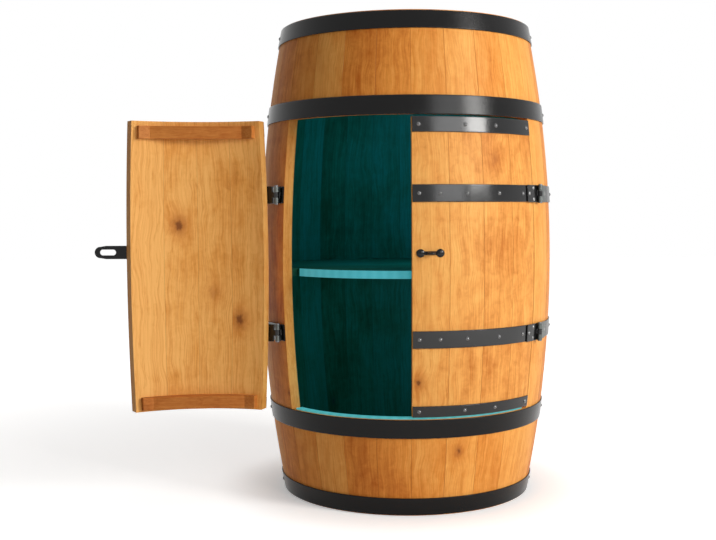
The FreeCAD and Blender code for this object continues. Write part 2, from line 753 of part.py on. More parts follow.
def door(side, name, swing):
    """Staves, cleats, straps, rivets and hinge halves of one door, built closed and then swung."""
    first, last = ("(0 - door_span)", "0") if side < 0 else ("0", "door_span")
    low_turn, high_turn = (JAMB_TURN, SEAM_TURN) if side < 0 else (SEAM_TURN, JAMB_TURN)
    node(short_staves(f"{name}_staves", "door_bottom", "door_top", False, False,
                      f"({first} + {low_turn})", f"({last} - {high_turn})", door_staves), swing)
    node(group(f"{name}_cleats", [cleat(f"{name}_upper_cleat", side, "upper_cleat_bottom"),
                                  cleat(f"{name}_lower_cleat", side, "lower_cleat_bottom")]), swing)
    upper_low, upper_high = "(door_top - upper_strap_width)", "door_top"
    lower_low, lower_high = "door_bottom", "(door_bottom + lower_strap_width)"
    node(group(f"{name}_end_straps", [
        strap(f"{name}_upper_end_strap", side, upper_low, upper_high),
        strap(f"{name}_lower_end_strap", side, lower_low, lower_high)]), swing)
    node(group(f"{name}_bilge_straps", [
        strap(f"{name}_{level}_bilge_strap", side, f"({middle} - bilge_hoop_width / 2)",
              f"({middle} + bilge_hoop_width / 2)") for level, middle in HINGES.items()]), swing)
    seam_end = value(degrees_of("rivet_end_inset"))
    jamb_end = value(f"(door_span - {degrees_of('rivet_end_inset')})")
    stave_middles = [value(SEAM_TURN) + value(STAVE_TURN) * (number + 0.5) for number in RIVETED_STAVES]
    leaf_end = value(f"({HINGE_BEARING} - {degrees_of('(leaf_length + leaf_tip_to_rivet)')})")
    end_bearings = [seam_end, *stave_middles, jamb_end]
    bilge_bearings = [seam_end, seam_end + value(degrees_of("rivet_pitch")), *stave_middles, leaf_end]
    end_heights = [value(f"({upper_low} + {upper_high}) / 2"), value(f"({lower_low} + {lower_high}) / 2")]
    places = [on_wall(side * bearing, height, value(HOOP_OUT))
              for height in end_heights for bearing in end_bearings]
    places += [on_wall(side * bearing, value(middle), value(HOOP_OUT))
               for middle in HINGES.values() for bearing in bilge_bearings]
    node(copies(f"{name}_rivets", rivet, places), swing)
    pin_bearing = side * value(HINGE_BEARING)
    leaves, pins, screws = [], [], []
    for level, middle in HINGES.items():
        leaves.append(placed(
            hinge_leaf(f"{name}_{level}_leaf", middle, MIDDLE_KNUCKLE, side < 0), turned(pin_bearing)))
        pins.append(placed(
            hinge_pin(f"{name}_{level}_pin", HINGE_RADIUS, "pin_radius", "pin_head_radius",
                      f"({middle} - leaf_height / 2)", f"({middle} + leaf_height / 2)"),
            turned(pin_bearing)))
        screws += [on_wall(pin_bearing + turn, height, lift)
                   for turn, height, lift in leaf_screws(middle, -side)]
    node(group(f"{name}_hinge_leaves", leaves), swing)
    node(group(f"{name}_hinge_pins", pins), swing)
    node(copies(f"{name}_hinge_screws", screw, screws), swing)


door(-1, "left_door", LEFT_SWING)
door(1, "right_door", STAY)


# ---------------------------------------------------------------- hasp on the left door
HASP_LOW = "(hasp_height - hasp_leaf_height / 2)"
HASP_HIGH = "(hasp_height + hasp_leaf_height / 2)"
HASP_LEAF_OUT = "(leaf_gap + hasp_leaf_thickness)"
hasp_turn = value(HASP_BEARING)
hasp_leaf = leaf("hasp_leaf", HASP_RADIUS, "leaf_gap", HASP_LEAF_OUT, HASP_LOW, HASP_HIGH,
                 "hasp_leaf_length", "hasp_knuckle_radius", "(hasp_pin_radius + pin_play)",
                 OUTER_KNUCKLES, False)
node(placed(hasp_leaf, turned(hasp_turn)), LEFT_SWING)
hasp_pin = hinge_pin("hasp_pin", HASP_RADIUS, "hasp_pin_radius", "hasp_pin_head_radius",
                     HASP_LOW, HASP_HIGH)
node(placed(hasp_pin, turned(hasp_turn)), LEFT_SWING)
hasp_screw_turn = hasp_turn - value(degrees_of("hasp_screw"))
node(copies("hasp_screws", screw, [
    on_wall(hasp_screw_turn, value("hasp_height") + step * value("hasp_screw_spread"), value(HASP_LEAF_OUT))
    for step in (-1, 1)]), LEFT_SWING)


def flap():
    """A slotted plate that swings on the hasp's pin. X runs from the pin to the tip, Z is up."""
    body = new_body("hasp_flap")
    half, tip = "(flap_height / 2)", "(flap_tip_height / 2)"
    tip_middle = f"(flap_length - {tip})"
    plate = outline(body, "XZ_Plane", [
        ("0", f"(0 - {half})"), ("flap_shoulder", f"(0 - {half})"), (tip_middle, f"(0 - {tip})"),
        ("flap_length", "0"), (tip_middle, tip), ("flap_shoulder", half), ("0", half)],
        {2: (tip_middle, "0", tip), 3: (tip_middle, "0", tip)})
    pad(body, plate, "flap_thickness", centred=True)
    round_knuckle = circle(body, "XY_Plane", "0", "0", "hasp_knuckle_radius", f"(0 - {half})")
    pad(body, round_knuckle, "flap_height")
    bore = circle(body, "XY_Plane", "0", "0", "(hasp_pin_radius + pin_play)", f"(0 - {half} - pin_head_height)")
    pocket(body, bore, "(flap_height + 2 * pin_head_height)")
    reach = "(hasp_knuckle_radius + knuckle_play)"
    third = "(hasp_leaf_height / 3)"
    for low in (f"(0 - hasp_leaf_height / 2 - {reach})", f"({third} / 2 - knuckle_play / 2)"):
        space = outline(body, "XY_Plane", [
            (f"(0 - {reach})", f"(0 - {reach})"), (reach, f"(0 - {reach})"), (reach, reach),
            (f"(0 - {reach})", reach)], lift=low)
        pocket(body, space, f"({third} + {reach} + knuckle_play / 2)")
    end = "(slot_length / 2 - slot_height / 2)"
    left, right = f"(slot_middle - {end})", f"(slot_middle + {end})"
    rise = "(slot_height / 2)"
    slot = outline(body, "XZ_Plane", [
        (left, f"(0 - {rise})"), (right, f"(0 - {rise})"), (f"({right} + {rise})", "0"), (right, rise),
        (left, rise), (f"({left} - {rise})", "0")],
        {1: (right, "0", rise), 2: (right, "0", rise), 4: (left, "0", rise), 5: (left, "0", rise)})
    cut = pocket(body, slot, "flap_length")
    cut.SideType = "Symmetric"
    return body


flap_place = App.Placement(Vector(HASP_POINT.x, HASP_POINT.y, value("hasp_height")),
                           App.Rotation(UP, hasp_turn))
node(placed(flap(), flap_place), FLAP_SWING)


# ---------------------------------------------------------------- staple on the right door
STAPLE_BEARING = degrees_of("(seam_gap + staple_offset)")
STAPLE_LENGTH = "(staple_screw_pitch + 2 * disc_radius - 2 * seam_gap)"


def staple():
    """A narrow bent base with a U of wire standing on it, built on +X."""
    low = "(hasp_height - staple_base_height / 2)"
    high = "(hasp_height + staple_base_height / 2)"
    base = bent_sector("staple_base", low, high, "leaf_gap", "(leaf_gap + staple_base_thickness)",
                       degrees_of(STAPLE_LENGTH))
    foot = value(radius_at("hasp_height", "(leaf_gap + staple_base_thickness / 2)"))
    half = value("staple_loop_width") / 2
    height = value("hasp_height")
    straight = value("staple_loop_reach")
    legs = []
    for side in (-1, 1):
        leg = doc.addObject("Part::Cylinder", "staple_leg")
        leg.setExpression("Radius", bind("staple_wire_radius"))
        leg.setExpression("Height", bind("staple_loop_reach"))
        leg.Placement = App.Placement(Vector(foot, side * half, height), App.Rotation(Vector(0, 1, 0), 90))
        legs.append(leg)
    arch = doc.addObject("Part::Torus", "staple_arch")
    arch.setExpression("Radius1", bind("staple_loop_width / 2"))
    arch.setExpression("Radius2", bind("staple_wire_radius"))
    arch.Angle3 = 180
    arch.Placement = App.Placement(Vector(foot + straight, 0, height), App.Rotation(UP, -90))
    whole = doc.addObject("Part::MultiFuse", "staple")
    whole.Shapes = [base, *legs, arch]
    return whole


node(placed(staple(), turned(value(STAPLE_BEARING))))
disc_lift = value("(leaf_gap + staple_base_thickness)")
half_pitch = value(degrees_of("(staple_screw_pitch / 2)"))
node(copies("staple_screws", staple_screw, [
    on_wall(value(STAPLE_BEARING) + side * half_pitch, value("hasp_height"), disc_lift)
    for side in (-1, 1)]))


# ---------------------------------------------------------------- checks and export
doc.recompute()
for thing in doc.Objects:
    if "Invalid" in thing.State or "Error" in thing.State:
        raise RuntimeError(f"{thing.Label} failed: {thing.State}")
for thing in NODES:
    if thing.Shape.isNull() or not thing.Shape.isValid():
        raise RuntimeError(f"{thing.Label} has no valid shape")

os.makedirs("parts", exist_ok=True)
for thing in NODES:
    thing.Shape.exportStep(f"parts/{thing.Label}.step")
    print(f"{thing.Label}: {len(thing.Shape.Solids)} solids")
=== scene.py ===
import json
import math
from collections import namedtuple

import bpy
from mathutils import Matrix, Vector

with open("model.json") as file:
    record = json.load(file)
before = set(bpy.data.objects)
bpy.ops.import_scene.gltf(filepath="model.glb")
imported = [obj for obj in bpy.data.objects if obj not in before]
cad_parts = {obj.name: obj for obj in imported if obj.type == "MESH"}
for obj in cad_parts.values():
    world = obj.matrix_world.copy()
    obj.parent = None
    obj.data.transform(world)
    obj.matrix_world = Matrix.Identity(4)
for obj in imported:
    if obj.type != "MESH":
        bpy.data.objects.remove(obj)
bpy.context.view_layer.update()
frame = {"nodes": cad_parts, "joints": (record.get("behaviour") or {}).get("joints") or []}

# ---------------------------------------------------------------- sizes shared with the solids
# Lengths are in metres, bearings and turns in degrees. A bearing of 0 is the middle of the doorway.
BARREL_HEIGHT = 0.800
BELLY_RADIUS = 0.2535
END_RADIUS = 0.2135
WALL = 0.018
HEAD_RECESS = 0.016
HEAD_THICKNESS = 0.016
HEAD_BOARDS = 7
HEAD_BOARD_WIDTH = 0.05715
FULL_STAVES = 18
BAND_STAVES = 8
STAVES_PER_DOOR = 4
DOORWAY = 54.4
SEAM_GAP = 0.0005
JAMB_GAP = 0.0015
CLEAT_BEARING = 27.15
LEFT_DOOR_TURN = 147.0

MID_HEIGHT = BARREL_HEIGHT / 2
RISE = BELLY_RADIUS - END_RADIUS
BEND_RADIUS = (MID_HEIGHT ** 2 + RISE ** 2) / (2 * RISE)
INNER_BOTTOM = HEAD_RECESS + HEAD_THICKNESS
INNER_TOP = BARREL_HEIGHT - INNER_BOTTOM
STAVE_STEP = (360 - 2 * DOORWAY) / FULL_STAVES
BAND_STEP = 2 * DOORWAY / BAND_STAVES
DOOR_SEAM = math.degrees(SEAM_GAP / BELLY_RADIUS)
DOOR_JAMB = math.degrees(JAMB_GAP / BELLY_RADIUS)
DOOR_STEP = (DOORWAY - DOOR_SEAM - DOOR_JAMB) / STAVES_PER_DOOR

JOINT_PLACES = {joint["name"]: joint["pos_m"] for joint in frame["joints"]}
LEFT_HINGE = JOINT_PLACES["left_door_hinge"]

# ---------------------------------------------------------------- camera
# Fitted to the photograph's outline and hoops. The camera stands LEFT_OF_MIDDLE degrees to the left of
# the doorway's middle, and YAW is its turn from the line to the barrel's axis.
CAMERA_DISTANCE = 1.88383
CAMERA_HEIGHT = 0.48482
LEFT_OF_MIDDLE = 2.4
YAW = -2.54
PITCH = -3.13
ROLL = -0.30
LENS = 53.26
SENSOR_WIDTH = 36.0


def make_camera():
    """The photograph's view, which looks slightly down from a little above half height."""
    aside = math.radians(LEFT_OF_MIDDLE)
    yaw = math.radians(YAW) + aside
    pitch = math.radians(PITCH)
    roll = math.radians(ROLL)
    level = Vector((math.sin(yaw), math.cos(yaw), 0))
    forward = level * math.cos(pitch) + Vector((0, 0, 1)) * math.sin(pitch)
    right = Vector((math.cos(yaw), -math.sin(yaw), 0))
    up = right.cross(forward)
    tilted_right = right * math.cos(roll) + up * math.sin(roll)
    tilted_up = up * math.cos(roll) - right * math.sin(roll)
    turn = Matrix((tilted_right, tilted_up, -forward)).transposed()
    place = Vector((-CAMERA_DISTANCE * math.sin(aside), -CAMERA_DISTANCE * math.cos(aside), CAMERA_HEIGHT))
    camera = bpy.data.objects.new("camera", bpy.data.cameras.new("camera"))
    camera.data.sensor_fit = "HORIZONTAL"
    camera.data.sensor_width = SENSOR_WIDTH
    camera.data.lens = LENS
    camera.matrix_world = Matrix.Translation(place) @ turn.to_4x4()
    bpy.context.scene.collection.objects.link(camera)
    bpy.context.scene.camera = camera


make_camera()
bpy.context.scene.view_settings.view_transform = "Standard"


# ---------------------------------------------------------------- node graphs
def srgb(red, green, blue):
    """A colour as it looks on screen, 0 to 255, as linear values."""
    def linear(level):
        level /= 255
        return level / 12.92 if level <= 0.04045 else ((level + 0.055) / 1.055) ** 2.4
    return (linear(red), linear(green), linear(blue), 1.0)


def brighter(colour, gain):
    return tuple(gain * part for part in colour[:3]) + (1.0,)


class Graph:
    """Nodes of one material or world, with numbers or other nodes' outputs as inputs."""

    MIX_FACTOR, MIX_FIRST, MIX_SECOND, MIX_RESULT = 0, 6, 7, 2

    def __init__(self, owner, output="OutputMaterial"):
        self.owner = owner
        owner.use_nodes = True
        self.tree = owner.node_tree
        self.tree.nodes.clear()
        self.output = self.add(output)

    def feed(self, socket, source):
        if isinstance(source, bpy.types.NodeSocket):
            self.tree.links.new(source, socket)
        else:
            socket.default_value = source

    def add(self, kind, inputs=None, **settings):
        node = self.tree.nodes.new("ShaderNode" + kind)
        for key, setting in settings.items():
            setattr(node, key, setting)
        for key, source in (inputs or {}).items():
            self.feed(node.inputs[key], source)
        return node

    def calc(self, operation, first, second=0.0, third=0.0, clamp=False):
        node = self.add("Math", {0: first, 1: second, 2: third}, operation=operation, use_clamp=clamp)
        return node.outputs[0]

    def total(self, first, *others):
        for other in others:
            first = self.calc("ADD", first, other)
        return first

    def times(self, first, *others):
        for other in others:
            first = self.calc("MULTIPLY", first, other)
        return first

    def less(self, first, second):
        return self.calc("SUBTRACT", first, second)

    def scaled(self, source, gain, start):
        return self.calc("MULTIPLY_ADD", source, gain, start)

    def signed(self, noise, gain):
        """Noise of 0 to 1 as a swing about nothing, as wide as gain."""
        return self.times(self.less(noise, 0.5), gain)

    def length(self, first, second):
        return self.calc("SQRT", self.total(self.times(first, first), self.times(second, second)))

    def step(self, source, low, high, to_low=0.0, to_high=1.0):
        node = self.add("MapRange", {"Value": source, "From Min": low, "From Max": high,
                                     "To Min": to_low, "To Max": to_high},
                        interpolation_type="SMOOTHSTEP")
        return node.outputs["Result"]

    def place(self):
        """Where a point lies, in the frame's metres at rest."""
        return self.add("TexCoord").outputs["Object"]

    def parts(self, vector):
        return self.add("SeparateXYZ", {0: vector}).outputs

    def colour_parts(self, colour):
        return self.add("SeparateColor", {0: colour}).outputs

    def vector(self, x, y, z):
        return self.add("CombineXYZ", {0: x, 1: y, 2: z}).outputs[0]

    def turned(self, place, degrees, centre=(0.0, 0.0, 0.0)):
        return self.add("VectorRotate", {"Vector": place, "Center": centre, "Angle": math.radians(degrees)},
                        rotation_type="Z_AXIS").outputs[0]

    def bearing(self, x, y):
        return self.calc("ARCTAN2", x, self.times(y, -1.0))

    def noise(self, vector, scale=1.0, detail=2.0, roughness=0.5, distortion=0.0):
        node = self.add("TexNoise", {"Vector": vector, "Scale": scale, "Detail": detail,
                                     "Roughness": roughness, "Distortion": distortion})
        return node.outputs["Fac"]

    def mix(self, factor, first, second, blend="MIX"):
        node = self.add("Mix", data_type="RGBA", blend_type=blend)
        self.feed(node.inputs[self.MIX_FACTOR], factor)
        self.feed(node.inputs[self.MIX_FIRST], first)
        self.feed(node.inputs[self.MIX_SECOND], second)
        return node.outputs[self.MIX_RESULT]

    def ramp(self, factor, *stops):
        node = self.add("ValToRGB", {"Fac": factor})
        elements = node.color_ramp.elements
        while len(elements) < len(stops):
            elements.new(0.5)
        for element, (position, colour) in zip(elements, stops):
            element.position = position
            element.color = colour
        return node.outputs["Color"]

    def seen_directly(self):
        """1 where the camera sees this itself, in a mirror or through glass, 0 where it only gives light."""
        path = self.add("LightPath").outputs
        mirrored = self.calc("MAXIMUM", path["Is Glossy Ray"], path["Is Transmission Ray"])
        return self.calc("MAXIMUM", path["Is Camera Ray"], mirrored)

    def finish(self, shader):
        self.feed(self.output.inputs["Surface"], shader)
        return self.owner


def new_material(name):
    return Graph(bpy.data.materials.new(name))


# ---------------------------------------------------------------- rows of boards
# Where a point lies in its board: metres along and across it, metres below the barrel's outer face (or
# the height, on level boards), the board's number, the number of the row's first board, the height in
# the frame, and metres from the nearest joint between boards.
Place = namedtuple("Place", "along across depth number first height joint")


def in_board(graph, boards, width):
    """Metres across one board, and metres from its nearest joint, from a count of boards."""
    share = graph.calc("FRACT", boards)
    across = graph.times(share, width)
    joint = graph.times(graph.calc("MINIMUM", share, graph.less(1.0, share)), width)
    return across, joint


def upright_row(first_bearing, step, first, turn=0.0):
    """A row of upright boards round the barrel. turn brings an open door back to where it closes."""
    def coordinates(graph):
        place = graph.place()
        if turn:
            place = graph.turned(place, turn, LEFT_HINGE)
        x, y, height = graph.parts(place)
        from_first = graph.less(graph.bearing(x, y), math.radians(first_bearing))
        from_first = graph.calc("FLOORED_MODULO", from_first, 2 * math.pi)
        boards = graph.calc("DIVIDE", from_first, math.radians(step))
        number = graph.total(graph.calc("FLOOR", boards), first)
        across, joint = in_board(graph, boards, math.radians(step) * BELLY_RADIUS)
        from_middle = graph.less(height, MID_HEIGHT)
        drop = graph.times(from_middle, from_middle, 0.5 / BEND_RADIUS)
        depth = graph.less(graph.less(BELLY_RADIUS, drop), graph.length(x, y))
        return Place(height, across, depth, number, first, height, joint)
    return coordinates


def level_row(width, first, along_x=False, turn=0.0, bearing=0.0):
    """A row of level boards, which lie along Y, or along X turned to a bearing.

    The count starts at one side of the middle, off it by half as many boards as a head has.
    """
    def coordinates(graph):
        place = graph.place()
        if turn:
            place = graph.turned(place, turn, LEFT_HINGE)
        if bearing:
            place = graph.turned(place, -bearing)
        x, y, height = graph.parts(place)
        along, side = (x, y) if along_x else (y, x)
        boards = graph.calc("DIVIDE", graph.total(side, HEAD_BOARDS / 2 * width), width)
        number = graph.total(graph.calc("FLOOR", boards), first)
        across, joint = in_board(graph, boards, width)
        return Place(along, across, height, number, first, height, joint)
    return coordinates


# ---------------------------------------------------------------- wood
# Noise of the wood: how fine it is across and along the board, in cycles per metre.
Grain = namedtuple("Grain", "across along detail roughness distortion")
CURL = Grain(16.0, 11.0, 2.0, 0.5, 0.0)
FIBRE = Grain(520.0, 8.0, 4.0, 0.65, 0.0)
STREAK = Grain(110.0, 9.0, 4.0, 0.6, 0.5)
BLOTCH = Grain(24.0, 11.0, 3.0, 0.6, 0.6)
FIGURE = Grain(60.0, 75.0, 3.0, 0.6, 0.8)
FLECK = Grain(260.0, 34.0, 3.0, 0.55, 0.3)
PORE = Grain(1500.0, 55.0, 1.0, 0.5, 0.0)
WANDER = Grain(8.0, 1.3, 2.0, 0.4, 0.0)
PATCHES_PER_WANDER = 1.6

# A knot of the photograph: its board in the row, its middle in metres across and along, and its size. The
# start is added to every distance from it: above 1.4 there is no eye, and only curled grain is left.
# A knot of size 1 is this wide and long, in metres from its middle to where distance 1 is.
Knot = namedtuple("Knot", "board across along size start")
KNOT_HALF_WIDTH = 0.0056
KNOT_HALF_LENGTH = 0.0070
# Knots by chance: pattern cells per metre, their count along a board as a share of that across it, and
# the radius in metres of the smallest knot and what chance can add to it.
KNOT_CELLS = 7.5
CELLS_ALONG = 0.72
SMALLEST_KNOT = 0.012
KNOT_SPREAD = 0.016
KNOT_RAGGEDNESS = 2.4
# Added to a knot's distance where it isn't on this board or in this cell.
FAR_OFF = 40.0

# The pith of a board's rings: how far aside and behind it may lie, in metres, and how it leans along the
# board, each as the reach that chance can add and where it starts.
RING_WIDTH = 0.0052
PITH_ASIDE = 0.19, -0.05
PITH_BEHIND = 0.055, 0.03
PITH_LEAN = 0.09, -0.045
# How far each board's pattern is from its neighbour's, so that no two are alike.
BOARD_SHIFT = 0.731

# How far each grain swings a board between its light and dark tones, about the middle shade.
MIDDLE_SHADE = 0.42
STREAK_SWING = 0.85
FIGURE_SWING = 0.55
BLOTCH_SWING = 1.15
# How strongly each of these darkens the boards.
RING_STRENGTH = 0.20
FIBRE_STRENGTH = 0.50
FLECK_STRENGTH = 0.55
PORE_STRENGTH = 0.35
HALO_STRENGTH = 0.70
KNOT_RING_STRENGTH = 0.55
KNOT_EYE_STRENGTH = 0.80
JOINT_LINE_STRENGTH = 0.25
WOOD_ROUGHNESS = 0.41
INSIDE_ROUGHNESS = 0.2

DEEPER = (0.74, 0.55, 0.36, 1.0)
# Inner faces are darkened and tinted turquoise with this colour: painted shade and painted turquoise lamp
# light.
PAINTED_TURQUOISE_SHADE = (0.006, 0.20, 0.60, 1.0)
KNOT_RING = srgb(168, 96, 44)
KNOT_EYE = srgb(112, 60, 28)
JOINT_LINE = srgb(112, 62, 26)


def drawn_out(graph, place, grain, across, start):
    return graph.vector(graph.scaled(across, grain.across, start), graph.times(place.depth, grain.across),
                        graph.times(place.along, grain.along))


def grain_noise(graph, place, grain, across, start):
    return graph.noise(drawn_out(graph, place, grain, across, start), 1.0, grain.detail, grain.roughness,
                       grain.distortion)


def board_tone(graph, place, tone, tones):
    """The tone that chance gives a board, or the one that is chosen for it."""
    for board, chosen in tones.items():
        there = graph.calc("COMPARE", place.number, place.first + board, 0.5)
        tone = graph.total(graph.times(tone, graph.less(1.0, there)), graph.times(there, chosen))
    return tone


def from_knot(graph, place, shift, knots, spots):
    """How far a point is from the nearest knot, in that knot's size.

    A few cells of a flat pattern hold a knot by chance, and spots are the chosen ones.
    """
    ragged = graph.noise(graph.vector(graph.times(place.across, 150.0), shift,
                                      graph.times(place.along, 110.0)), detail=3.0, roughness=0.6)
    flat = graph.vector(graph.total(place.across, shift), graph.times(place.along, CELLS_ALONG), 0.0)
    cells = graph.add("TexVoronoi", {"Vector": flat, "Scale": KNOT_CELLS, "Randomness": 0.8},
                      voronoi_dimensions="2D").outputs
    picks = graph.colour_parts(cells["Color"])
    kept = graph.calc("LESS_THAN", picks[0], knots)
    near = graph.calc("DIVIDE", cells["Distance"], graph.scaled(picks[1], KNOT_SPREAD, SMALLEST_KNOT))
    near = graph.total(near, graph.times(graph.less(1.0, kept), FAR_OFF))
    for spot in spots:
        aside = graph.calc("DIVIDE", graph.less(place.across, spot.across), KNOT_HALF_WIDTH * spot.size)
        above = graph.calc("DIVIDE", graph.less(place.along, spot.along), KNOT_HALF_LENGTH * spot.size)
        boards_off = graph.calc("ABSOLUTE", graph.less(place.number, place.first + spot.board))
        here = graph.total(graph.length(aside, above), spot.start, graph.times(boards_off, FAR_OFF))
        near = graph.calc("MINIMUM", near, here)
    return graph.total(near, graph.signed(ragged, KNOT_RAGGEDNESS))


def growth_rings(graph, place, shift, halo, picks):
    """Late wood of rings about a pith beside or behind the board, and how far the grain wanders.

    The pith's place and its lean along the board are picked for each board.
    """
    wander = graph.less(grain_noise(graph, place, WANDER, place.across, shift), 0.5)
    pith = graph.scaled(picks[0], *PITH_ASIDE)
    lean = graph.scaled(picks[2], *PITH_LEAN)
    sideways = graph.total(graph.less(place.across, pith), graph.times(wander, 0.012),
                           graph.times(halo, 0.007))
    behind = graph.total(graph.scaled(picks[1], *PITH_BEHIND), graph.times(lean, place.along))
    behind = graph.total(behind, graph.total(place.depth, graph.times(wander, 0.024)))
    ring = graph.calc("FRACT", graph.calc("DIVIDE", graph.length(sideways, behind), RING_WIDTH))
    late = graph.times(graph.step(ring, 0.15, 0.90), graph.step(ring, 1.0, 0.93))
    patchy = graph.noise(drawn_out(graph, place, WANDER, place.across, shift), PATCHES_PER_WANDER)
    late = graph.times(late, graph.scaled(graph.step(patchy, 0.30, 0.70), 0.75, 0.25))
    return late, wander


def wood(name, boards, colours, inside=None, knots=0.12, spots=(), tones=None, tone_range=0.75,
         contrast=1.0):
    """Varnished softwood: growth rings cut by the face, fibres, blotches, knots and a tone for each board.

    boards is a row of boards, and colours its light, middle and dark tone. inside(graph, place) gives how
    far a point gets painted turquoise shade, on the inner side. knots is the share of cells that hold a knot
    by chance.
    spots are the photograph's own knots, and tones its boards that are plainly lighter or darker, as
    {board in the row: tone}; a chosen tone can also be painted shade.
    """
    graph = new_material(name)
    place = boards(graph)
    chance = graph.add("TexWhiteNoise", {"W": graph.total(place.number, 0.37)}, noise_dimensions="1D").outputs
    tone = board_tone(graph, place, chance["Value"], tones or {})
    shift = graph.times(place.number, BOARD_SHIFT)

    near = from_knot(graph, place, shift, knots, spots)
    knot = graph.step(near, 1.45, 0.45)
    halo = graph.step(near, 7.0, 0.8)
    late, wander = growth_rings(graph, place, shift, halo, graph.colour_parts(chance["Color"]))

    # fibres, streaks and flecks bend round the knots and curl; blotches, figure and pores don't
    curl = grain_noise(graph, place, CURL, place.across, shift)
    bent = graph.total(place.across, graph.times(graph.total(wander, halo), 0.006), graph.signed(curl, 0.030))
    fibre = grain_noise(graph, place, FIBRE, bent, graph.times(shift, 30.0))
    streak = grain_noise(graph, place, STREAK, bent, graph.times(shift, 7.0))
    fleck = grain_noise(graph, place, FLECK, bent, shift)
    blotch = grain_noise(graph, place, BLOTCH, place.across, shift)
    figure = grain_noise(graph, place, FIGURE, place.across, shift)
    pores = graph.step(grain_noise(graph, place, PORE, place.across, 0.0), 0.66, 0.74)

    # colour: the board's tone and its blotches first, then what is darker than they are
    shade = graph.total(graph.scaled(graph.less(tone, 0.5), tone_range, MIDDLE_SHADE),
                        graph.signed(streak, STREAK_SWING * contrast),
                        graph.signed(figure, FIGURE_SWING * contrast))
    shade = graph.calc("ADD", shade, graph.signed(blotch, BLOTCH_SWING * contrast), clamp=True)
    colour = graph.ramp(shade, *zip((0.0, 0.5, 1.0), colours))
    deep = graph.mix(1.0, colour, DEEPER, "MULTIPLY")
    for amount in (graph.times(late, RING_STRENGTH),
                   graph.times(graph.step(fibre, 0.42, 0.64), FIBRE_STRENGTH),
                   graph.times(graph.step(fleck, 0.56, 0.74), FLECK_STRENGTH),
                   graph.times(pores, PORE_STRENGTH),
                   graph.times(halo, HALO_STRENGTH)):
        colour = graph.mix(amount, colour, deep)
    colour = graph.mix(graph.times(graph.step(near, 3.6, 0.9), KNOT_RING_STRENGTH), colour, KNOT_RING)
    colour = graph.mix(graph.step(place.joint, 0.0008, 0.0002, to_high=JOINT_LINE_STRENGTH), colour,
                       JOINT_LINE)
    colour = graph.mix(graph.times(knot, KNOT_EYE_STRENGTH), colour, KNOT_EYE)

    gloss = graph.scaled(fibre, 0.22, WOOD_ROUGHNESS)
    if inside:
        # Painted shade: the inner side's colour is darkened and tinted turquoise like the lamps' light.
        painted_shade_share = inside(graph, place)
        colour = graph.mix(painted_shade_share, colour, graph.mix(1.0, colour, PAINTED_TURQUOISE_SHADE, "MULTIPLY"))
        gloss = graph.total(gloss, graph.times(painted_shade_share, INSIDE_ROUGHNESS))
    relief = graph.total(graph.times(fibre, 0.6), graph.times(late, -0.35), graph.times(pores, -0.5))
    bump = graph.add("Bump", {"Height": relief, "Strength": 0.22, "Distance": 0.0004})
    shader = graph.add("BsdfPrincipled", {
        "Base Color": colour, "Roughness": gloss, "Normal": bump.outputs[0],
        "Specular IOR Level": 0.12, "Coat Weight": 0.02, "Coat Roughness": 0.30})
    return graph.finish(shader.outputs[0])


def inner_wall(graph, place):
    """Where the barrel's inner face, between its heads, gets painted shade, with edges that lie inside the
    heads.
    """
    side = graph.step(place.depth, WALL - 0.0014, WALL - 0.0006)
    below_top = graph.step(place.height, INNER_TOP + 0.0010, INNER_TOP + 0.0005)
    above_bottom = graph.step(place.height, INNER_BOTTOM - 0.0010, INNER_BOTTOM - 0.0005)
    return graph.times(side, graph.times(below_top, above_bottom))


# Where the heads' inner faces and the whole shelf get painted shade.
def under_top_head(graph, place):
    return graph.step(place.height, INNER_TOP + 0.0004, INNER_TOP)


def over_bottom_head(graph, place):
    return graph.step(place.height, INNER_BOTTOM - 0.0004, INNER_BOTTOM)


def everywhere(graph, place):
    return 1.0


# Light, middle and dark tone of the boards, as they look on screen.
OUTER_TONES = srgb(244, 176, 92), srgb(228, 149, 66), srgb(192, 104, 34)
RIGHT_DOOR_TONES = srgb(248, 188, 106), srgb(238, 168, 88), srgb(206, 128, 56)
LEFT_DOOR_TONES = srgb(248, 186, 106), srgb(234, 164, 82), srgb(200, 124, 52)
CLEAT_TONES = srgb(206, 134, 66), srgb(188, 114, 52), srgb(152, 84, 34)

# The number of each row's first board, which sets what chance makes of its boards.
FIRST_STAVE = 3.0
FIRST_BAND_STAVE = 41.0
FIRST_RIGHT_DOOR_STAVE = 71.0
FIRST_LEFT_DOOR_STAVE = 90.0
FIRST_TOP_HEAD_BOARD = 120.0
FIRST_BOTTOM_HEAD_BOARD = 140.0
FIRST_SHELF_BOARD = 160.0
FIRST_LEFT_CLEAT = 180.0
FIRST_RIGHT_CLEAT = 190.0
SHELF_BOARD_WIDTH = 0.12
ONE_WIDE_BOARD = 0.5

